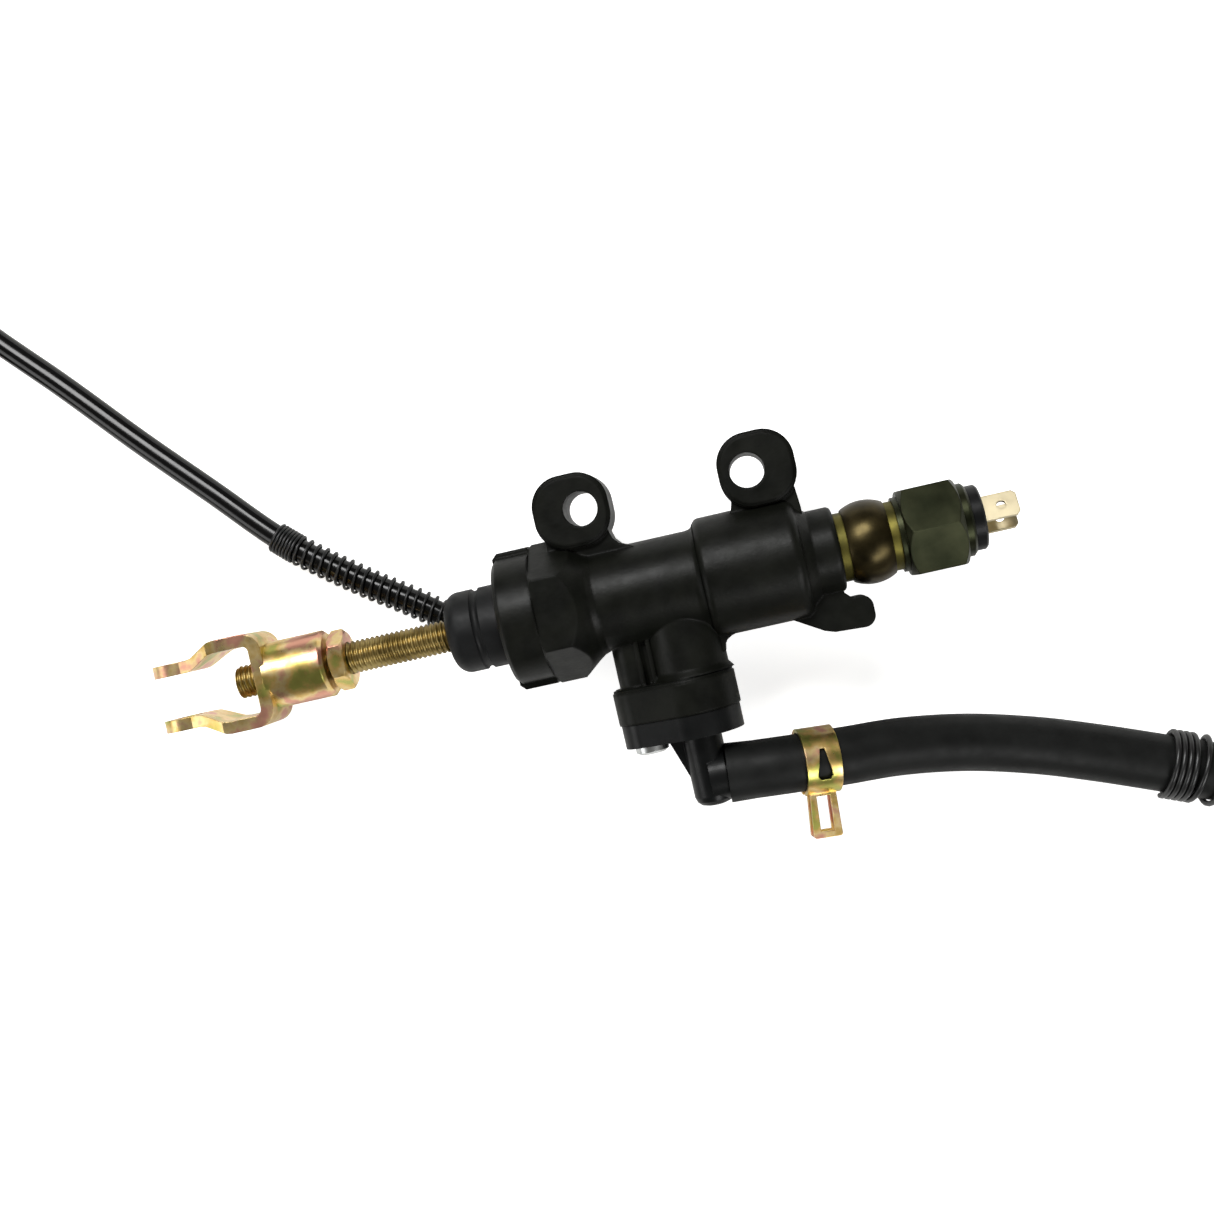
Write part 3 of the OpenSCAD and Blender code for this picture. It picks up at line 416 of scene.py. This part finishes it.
NODE_FINISHES: dict[str, Finish] = {
    "cylinder_body": CASTING,
    "dust_boot": BOOT_RUBBER,
    "retaining_ring": SPRING_STEEL,
    "stop_washer": YELLOW_ZINC,
    "lock_nut": YELLOW_ZINC,
    "clevis": YELLOW_ZINC,
    "piston": ALLOY,
    "primary_cup": SEAL_RUBBER,
    "secondary_seal": SEAL_RUBBER,
    "spring_seat": SPRING_STEEL,
    "return_spring": SPRING_STEEL,
    "inner_washer": OLIVE_WASHER,
    "banjo_fitting": DARK_ZINC,
    "outer_washer": OLIVE_WASHER,
    "hose_ferrule": BLACK_FERRULE,
    "switch_body": OLIVE_ZINC,
    "switch_diaphragm": AMBER_FILM,
    "contact_plate": BRASS,
    "contact_spring": SPRING_STEEL,
    "switch_insulator": MOULDED_NYLON,
    "terminal_front": TINNED,
    "terminal_back": TINNED,
    "reservoir_elbow": MOULDED_NYLON,
    "elbow_seal": SEAL_RUBBER,
    "elbow_screw": BRIGHT_ZINC,
    "hose_clamp": YELLOW_ZINC,
    "far_clamp": YELLOW_ZINC,
    "coil_tie": MOULDED_NYLON,
    "caliper_ferrule": BLACK_FERRULE,
    "caliper_banjo": DARK_ZINC,
}


# ---- routes ----


def smooth(route: list[Vector], steps: int) -> list[Vector]:
    """Draws a smooth curve through a route.

    Args:
        route: The points to pass through.
        steps: Points on each span.

    Returns:
        The curve's points.
    """
    curve = []
    last = len(route) - 1
    for i in range(last):
        a, b, c, d = route[max(i - 1, 0)], route[i], route[i + 1], route[min(i + 2, last)]
        for s in range(steps):
            t = s / steps
            curve.append(
                0.5
                * (2 * b + (c - a) * t + (2 * a - 5 * b + 4 * c - d) * t**2 + (3 * b - a - 3 * c + d) * t**3)
            )
    curve.append(route[last].copy())
    return curve


@dataclass
class Line:
    """A curve that can be asked for the place and direction at a distance along it."""

    points: list[Vector]
    runs: list[float] = field(init=False)

    def __post_init__(self) -> None:
        """Adds up the distance to each point."""
        self.runs = [0.0]
        for a, b in zip(self.points, self.points[1:]):
            self.runs.append(self.runs[-1] + (b - a).length)

    @property
    def length(self) -> float:
        """The whole curve's length."""
        return self.runs[-1]

    def at(self, distance: float) -> tuple[Vector, Vector]:
        """Finds a place on the curve.

        Args:
            distance: Metres from the curve's start.

        Returns:
            The place, and the direction there.
        """
        i = max(0, min(len(self.points) - 2, self._span(distance)))
        a, b = self.points[i], self.points[i + 1]
        t = (distance - self.runs[i]) / max(self.runs[i + 1] - self.runs[i], 1e-9)
        before = self.points[max(i - 1, 0)]
        after = self.points[min(i + 2, len(self.points) - 1)]
        return a.lerp(b, t), (b - before).normalized().lerp((after - a).normalized(), t).normalized()

    def _span(self, distance: float) -> int:
        """Finds the span that holds a distance along the curve."""
        low, high = 0, len(self.runs) - 1
        while high - low > 1:
            middle = (low + high) // 2
            if self.runs[middle] > distance:
                high = middle
            else:
                low = middle
        return low


def tube(
    name: str, points: list[Vector], radius: float, widths: list[float] | None = None
) -> bpy.types.Object:
    """Makes a round tube along points.

    Args:
        name: The object's name.
        points: Places along the tube's middle, in metres.
        radius: The tube's radius in metres.
        widths: A factor on the radius at each point.

    Returns:
        The curve object.
    """
    data = bpy.data.curves.new(name, "CURVE")
    data.dimensions = "3D"
    data.bevel_depth = radius
    data.bevel_resolution = 6
    data.use_fill_caps = True
    spline = data.splines.new("POLY")
    spline.points.add(len(points) - 1)
    for i, place in enumerate(points):
        spline.points[i].co = (*place, 1.0)
        spline.points[i].radius = widths[i] if widths else 1.0
    spline.use_smooth = True
    obj = bpy.data.objects.new(name, data)
    bpy.context.scene.collection.objects.link(obj)
    return obj


@dataclass
class WireGuard:
    """A wire wound round a hose, with a closed run and an open run.

    Attributes:
        name: The piece's name.
        line: The hose's curve.
        start: Distance along the hose of the first turn, in metres.
        closed: Number of closed turns.
        open_turns: Number of open turns.
        closed_pitch: Pitch of the closed turns in metres, with its sign as direction.
        open_pitch: Pitch of the open turns, likewise.
        radius: From the hose's middle to the wire's.
        wire: The wire's radius.
    """

    name: str
    line: Line
    start: float
    closed: int
    open_turns: int
    closed_pitch: float
    open_pitch: float
    radius: float
    wire: float

    def build(self, replaced: str) -> bpy.types.Object:
        """Makes the wire.

        Args:
            replaced: The CAD node that it stands for.

        Returns:
            The wire's curve object.
        """
        around = 28
        places = []
        for i in range((self.closed + self.open_turns) * around + 1):
            turns = i / around
            shut = min(turns, self.closed)
            distance = self.start + shut * self.closed_pitch + (turns - shut) * self.open_pitch
            middle, along = self.line.at(distance)
            side = along.cross(Vector((0, 0, 1))).normalized()
            up = side.cross(along)
            angle = 2 * math.pi * turns
            places.append(middle + self.radius * (math.cos(angle) * side + math.sin(angle) * up))
        wire = tube(self.name, places, self.wire)
        wire.data.bevel_resolution = 3
        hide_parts(replaced)
        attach(wire, "housing")
        return wire


# ---- sub-assemblies ----


@dataclass
class PressureHose:
    """The pressure hose, from the banjo's ferrule to the caliper's end, with its wire guard."""

    diameter: float = 6.2 * MM
    guard_wire: float = 0.8 * MM
    coil_centre: tuple[float, float] = (-211.0, 99.5)
    outer_turn: float = 36.8
    inner_turn: float = 30.4
    # Where the coil starts to draw in, and over how many degrees
    draws_in_at: float = 280.0
    draws_in_over: float = 100.0
    # Over how many degrees the coil's end climbs over the first turn, and to what height over it
    climbs_over: float = 36.0
    climb: float = 5.45
    # How far short of the far ferrule's direction the coil stops, in degrees
    stops_short: float = 7.5
    table_gap: float = 0.2
    pieces: tuple[str, ...] = ("coil_tie", "caliper_ferrule", "caliper_banjo", "hose_ferrule")
    # Places from above and the height of the hose's underside over the table
    route: tuple[tuple[float, float, float], ...] = (
        (14, 0, 1.1),
        (2, -3, 1.1),
        (-12, -8, 1.1),
        (-26, -9.5, 1.1),
        (-42, -5.5, 1.1),
        (-56, 0, 1.1),
        (-69, 9.5, 1.1),
        (-84, 20, 1.1),
        (-100, 33, 1.1),
        (-116, 50, 0.6),
        (-132, 67, 0.2),
        (-149, 86, 0.2),
        (-165, 103, 0.2),
        (-185, 125.6, 0.2),
    )
    # Directions from the coil's centre to where the hose enters it and to its far ferrule, in degrees
    entry_angle: float = 45.0
    far_angle: float = 315.0

    def coil(self) -> list[Vector]:
        """Draws the neat coil that holds the hose's unseen length.

        Returns:
            The coil's points, from where the hose enters it to the far ferrule.
        """
        low = TABLE_Z + self.diameter / MM / 2 + self.table_gap
        high = TABLE_Z + self.diameter / MM + self.climb
        places = []
        step = 4
        angle = self.entry_angle + step
        last = self.far_angle - 90 + 360 - self.stops_short
        while angle < last:
            shift = min(1.0, max(0.0, (angle - self.draws_in_at) / self.draws_in_over))
            blend = shift * shift * (3 - 2 * shift)
            radius = self.outer_turn + (self.inner_turn - self.outer_turn) * blend
            climb = min(1.0, max(0.0, (angle - last) / self.climbs_over + 1))
            height = low + (high - low) * climb * climb * (3 - 2 * climb)
            a = math.radians(angle)
            x, y = self.coil_centre
            places.append(point(x + radius * math.cos(a), y + radius * math.sin(a), height))
            angle += step
        return places

    def build(self) -> Line:
        """Returns:
            The hose's whole curve.
        """
        half = self.diameter / MM / 2
        seen = smooth([point(x, y, TABLE_Z + half + lift) for x, y, lift in self.route], SPAN_STEPS)
        places = seen + self.coil()
        line = Line(places)
        hose = tube("pressure_hose", places, self.diameter / 2)
        HOSE_RUBBER.dress(hose)
        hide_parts("brake_hose", "brake_hose_coil")
        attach(hose, "housing")
        guard = WireGuard(
            "pressure_hose_guard",
            line,
            start=130 * MM,
            closed=7,
            open_turns=26,
            closed_pitch=-0.9 * MM,
            open_pitch=-2.4 * MM,
            radius=self.diameter / 2 + self.guard_wire / 2 + 0.2 * MM,
            wire=self.guard_wire / 2,
        ).build("brake_guard")
        BLACK_WIRE.dress(guard)
        LOG.info("pressure hose %.3f m", line.length)
        return line


@dataclass
class FeedHose:
    """The reservoir's feed hose, from the elbow to its cut end, with its guard; the far clamp stays the CAD
    node.
    """

    diameter: float = 14 * MM
    guard_wire: float = 1.4 * MM
    # The hose is stretched by this share where it is pushed on, over this length
    stretch: float = 0.03
    stretch_length: float = 6 * MM
    route: tuple[tuple[float, float, float], ...] = (
        (0, -46.6, 0),
        (8, -47.2, -0.2),
        (16, -47.8, -0.8),
        (28, -48.8, -3.2),
        (42, -50, -7),
        (58, -53, -11.2),
        (74, -57.6, -14.2),
        (88, -62.6, -15.5),
        (102, -68, -15.6),
        (118, -74.4, -15.6),
        (134, -81, -15.6),
        (150, -88, -15.6),
    )

    def build(self) -> Line:
        """Returns:
            The hose's curve.
        """
        places = smooth([point(*place) for place in self.route], SPAN_STEPS)
        line = Line(places)
        widths = [1.0 + self.stretch * max(0.0, 1.0 - run / self.stretch_length) for run in line.runs]
        hose = tube("feed_hose", places, self.diameter / 2, widths)
        FEED_RUBBER.dress(hose)
        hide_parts("reservoir_hose")
        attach(hose, "housing")
        guard = WireGuard(
            "feed_hose_guard",
            line,
            start=108 * MM,
            closed=4,
            open_turns=6,
            closed_pitch=1.5 * MM,
            open_pitch=5 * MM,
            radius=self.diameter / 2 + self.guard_wire / 2 + 0.25 * MM,
            wire=self.guard_wire / 2,
        ).build("hose_guard")
        BLACK_WIRE.dress(guard)
        LOG.info("feed hose %.3f m", line.length)
        return line


@dataclass
class ThreadedRod:
    """The pushrod: a rolled thread, a plain neck and the ball that presses on the piston.

    Attributes:
        start: Where the thread's free end is, along the bore in millimetres.
        thread_end: Where the thread ends.
        neck_radius: The plain neck's radius.
        ball_at: Where the ball's middle is.
        ball_radius: The ball's radius.
        radius: The thread's outer radius.
        depth: The thread's depth.
        pitch: The thread's pitch.
        flank: How steeply the thread's flanks rise.
        tip: The free end's share of the full radius.
        around: Points round each ring.
        per_pitch: Rings on each pitch.
        ball_rings: Rings on the ball.
    """

    start: float = -112.4
    thread_end: float = -48.2
    neck_radius: float = 3.2
    ball_at: float = -28.16
    ball_radius: float = 5.1
    radius: float = 4.0
    depth: float = 0.6
    pitch: float = 1.25
    flank: float = 2.4
    tip: float = 0.72
    around: int = 36
    per_pitch: int = 8
    ball_rings: int = 20

    def thread(self, x: float, turn: float) -> float:
        """The thread's radius at a place.

        Args:
            x: Place along the bore in millimetres.
            turn: Place round the rod, from 0 to 1.

        Returns:
            The radius in millimetres.
        """
        phase = (x / self.pitch - turn) % 1.0
        ridge = min(1.0, self.flank * abs(phase - 0.5))
        first = self.radius * (self.tip + (x - self.start))
        last = self.neck_radius + 0.1 + (self.thread_end - x)
        return min(self.radius - self.depth * (1.0 - ridge), first, last)

    def plain(self, x: float) -> float:
        """The radius of the neck and the ball at a place along the bore, in millimetres."""
        across = math.sqrt(max(0.0, self.ball_radius**2 - (x - self.ball_at) ** 2))
        return across if x > self.ball_at else max(self.neck_radius, across)

    def build(self) -> bpy.types.Object:
        """Makes the rod as one closed skin.

        Returns:
            The mesh object, riding on the pushrod.
        """
        around = self.around
        rings = int((self.thread_end - self.start) / self.pitch * self.per_pitch)
        threaded = [self.start + i * self.pitch / self.per_pitch for i in range(rings + 1)]
        bend = math.sqrt(self.ball_radius**2 - self.neck_radius**2)
        side = math.asin(bend / self.ball_radius)
        step = (side + math.radians(88)) / self.ball_rings
        sweep = [side - i * step for i in range(self.ball_rings + 1)]
        smooth_part = [self.thread_end + 0.1] + [self.ball_at - self.ball_radius * math.sin(a) for a in sweep]
        mesh = bmesh.new()
        rows = []
        for x in threaded + smooth_part:
            row = []
            for k in range(around):
                angle = 2 * math.pi * k / around
                radius = self.thread(x, k / around) if x <= self.thread_end else self.plain(x)
                row.append(mesh.verts.new(point(x, radius * math.cos(angle), radius * math.sin(angle))))
            rows.append(row)
        for a, b in zip(rows, rows[1:]):
            for k in range(around):
                n = (k + 1) % around
                mesh.faces.new((a[k], a[n], b[n], b[k]))
        mesh.faces.new(list(reversed(rows[0])))
        mesh.faces.new(rows[-1])
        bmesh.ops.recalc_face_normals(mesh, faces=mesh.faces)
        data = bpy.data.meshes.new("threaded_pushrod")
        mesh.to_mesh(data)
        mesh.free()
        data.shade_smooth()
        obj = bpy.data.objects.new("threaded_pushrod", data)
        bpy.context.scene.collection.objects.link(obj)
        # The rod's colour is the yellow plating darkened with painted shade of the thread's grooves
        ROD_ZINC_WITH_GROOVE_SHADE.dress(obj)
        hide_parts("pushrod")
        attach(obj, "pushrod")
        LOG.info("pushrod with %d rings", len(rows))
        return obj


@dataclass
class Shell:
    """The CAD nodes, dressed in their finishes."""

    finishes: dict[str, Finish]

    def build(self) -> None:
        """Gives each CAD node its finish and smooth shading."""
        for name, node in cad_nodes().items():
            finish = self.finishes.get(name)
            if finish is None:
                continue
            finish.dress(node)
            node.data.shade_smooth()
            hard = node.modifiers.new("hard edges", "EDGE_SPLIT")
            hard.split_angle = math.radians(SHARP_ANGLE)
            hard.use_edge_sharp = False
            LOG.info("%s in %s", name, finish.name)


# ---- studio ----


@dataclass(frozen=True)
class StudioCamera:
    """The camera, in the row frame."""

    place: tuple[float, float, float] = (17.09, -18.45, 352.94)
    turn: tuple[float, float, float] = (-2.198, 5.591, -12.803)
    lens: float = 43.84
    sensor: float = 36.0
    nearest: float = 0.01

    def build(self) -> None:
        """Makes the camera and looks through it."""
        data = bpy.data.cameras.new("camera")
        data.sensor_width = self.sensor
        data.lens = self.lens
        data.clip_start = self.nearest
        obj = bpy.data.objects.new("camera", data)
        bpy.context.scene.collection.objects.link(obj)
        obj.location = Vector(self.place) * MM
        obj.rotation_euler = tuple(math.radians(a) for a in self.turn)
        bpy.context.scene.camera = obj


@dataclass(frozen=True)
class Lamp:
    """One soft lamp.

    Attributes:
        name: The lamp's name.
        place: Where it stands, in metres.
        power: Its power in watts.
        width: Its width in metres.
        height: Its height in metres.
    """

    name: str
    place: tuple[float, float, float]
    power: float
    width: float
    height: float

    def build(self) -> None:
        """Makes the lamp, facing the object's middle."""
        data = bpy.data.lights.new(self.name, LightKind.AREA.value)
        data.energy = self.power
        data.shape = "RECTANGLE"
        data.size = self.width
        data.size_y = self.height
        obj = bpy.data.objects.new(self.name, data)
        bpy.context.scene.collection.objects.link(obj)
        obj.location = self.place
        aim = Vector((0.0, -0.02, 0.0)) - Vector(self.place)
        obj.rotation_euler = aim.to_track_quat("-Z", "Y").to_euler()


LAMPS = (
    Lamp("key", (-0.15, 0.55, 0.75), 9.0, 0.6, 0.3),
    Lamp("fill", (0.35, -0.6, 0.6), 4.0, 0.6, 0.25),
    Lamp("side", (-0.8, -0.2, 0.35), 1.6, 0.4, 0.4),
)


@dataclass
class Studio:
    """The table, the white surroundings and the lamps."""

    lamps: tuple[Lamp, ...]
    half_table: float = 3.0
    table_gap: float = 0.05 * MM

    def build(self, low: float) -> None:
        """Makes the studio.

        Args:
            low: Height of the object's lowest point, in metres.
        """
        self._world()
        self._table(low)
        for lamp in self.lamps:
            lamp.build()

    def _world(self) -> None:
        """Makes a dim room that the camera sees as white."""
        world = bpy.data.worlds.new("white room")
        bpy.context.scene.world = world
        world.use_nodes = True
        world.node_tree.nodes.clear()
        graph = Graph(world.node_tree)
        rays = graph.add("ShaderNodeLightPath")
        room = graph.add("ShaderNodeBackground", {"Color": linear("eeece6"), "Strength": 0.16})
        white = graph.add("ShaderNodeBackground", {"Color": linear("ffffff"), "Strength": 1.0})
        mixed = graph.add(
            "ShaderNodeMixShader",
            {0: rays.outputs["Is Camera Ray"], 1: room.outputs["Background"], 2: white.outputs["Background"]},
        )
        graph.add("ShaderNodeOutputWorld", {"Surface": mixed.outputs["Shader"]})

    def _table(self, low: float) -> None:
        """Makes the white table just under a height in metres."""
        half = self.half_table
        mesh = bmesh.new()
        corners = [(-half, -half), (half, -half), (half, half), (-half, half)]
        mesh.faces.new([mesh.verts.new((x, y, low - self.table_gap)) for x, y in corners])
        data = bpy.data.meshes.new("table")
        mesh.to_mesh(data)
        mesh.free()
        table = bpy.data.objects.new("table", data)
        bpy.context.scene.collection.objects.link(table)
        material = bpy.data.materials.new("white card")
        material.use_nodes = True
        material.node_tree.nodes.clear()
        graph = Graph(material.node_tree)
        rays = graph.add("ShaderNodeLightPath")
        card = graph.add("ShaderNodeBsdfDiffuse", {"Color": linear("f4f4f2")})
        glow = graph.add("ShaderNodeEmission", {"Color": linear("ffffff"), "Strength": 0.75})
        lit = graph.add("ShaderNodeAddShader", {0: card.outputs["BSDF"], 1: glow.outputs["Emission"]})
        mixed = graph.add(
            "ShaderNodeMixShader",
            {0: rays.outputs["Is Camera Ray"], 1: card.outputs["BSDF"], 2: lit.outputs["Shader"]},
        )
        graph.add("ShaderNodeOutputMaterial", {"Surface": mixed.outputs["Shader"]})
        data.materials.append(material)
        table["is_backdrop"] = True


_FRAME: dict = {}


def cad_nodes() -> dict[str, bpy.types.Object]:
    """The CAD nodes by name.

    Returns:
        Node name to object.
    """
    return _FRAME["nodes"]


def corners() -> list[list[float]]:
    """The shown object's box.

    Returns:
        Its lowest and highest corner.
    """
    return [list(map(float, corner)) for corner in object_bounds()]


def main() -> None:
    """Builds the whole scene."""
    logging.basicConfig(level=logging.INFO)
    _FRAME.update(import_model())
    before = corners()
    scene = bpy.context.scene
    scene.render.engine = "CYCLES"
    scene.view_settings.view_transform = "Standard"
    StudioCamera().build()
    PressureHose().build()
    FeedHose().build()
    Shell(NODE_FINISHES).build()
    ThreadedRod().build()
    Studio(LAMPS).build(before[0][2])


if __name__ == "__main__":
    main()
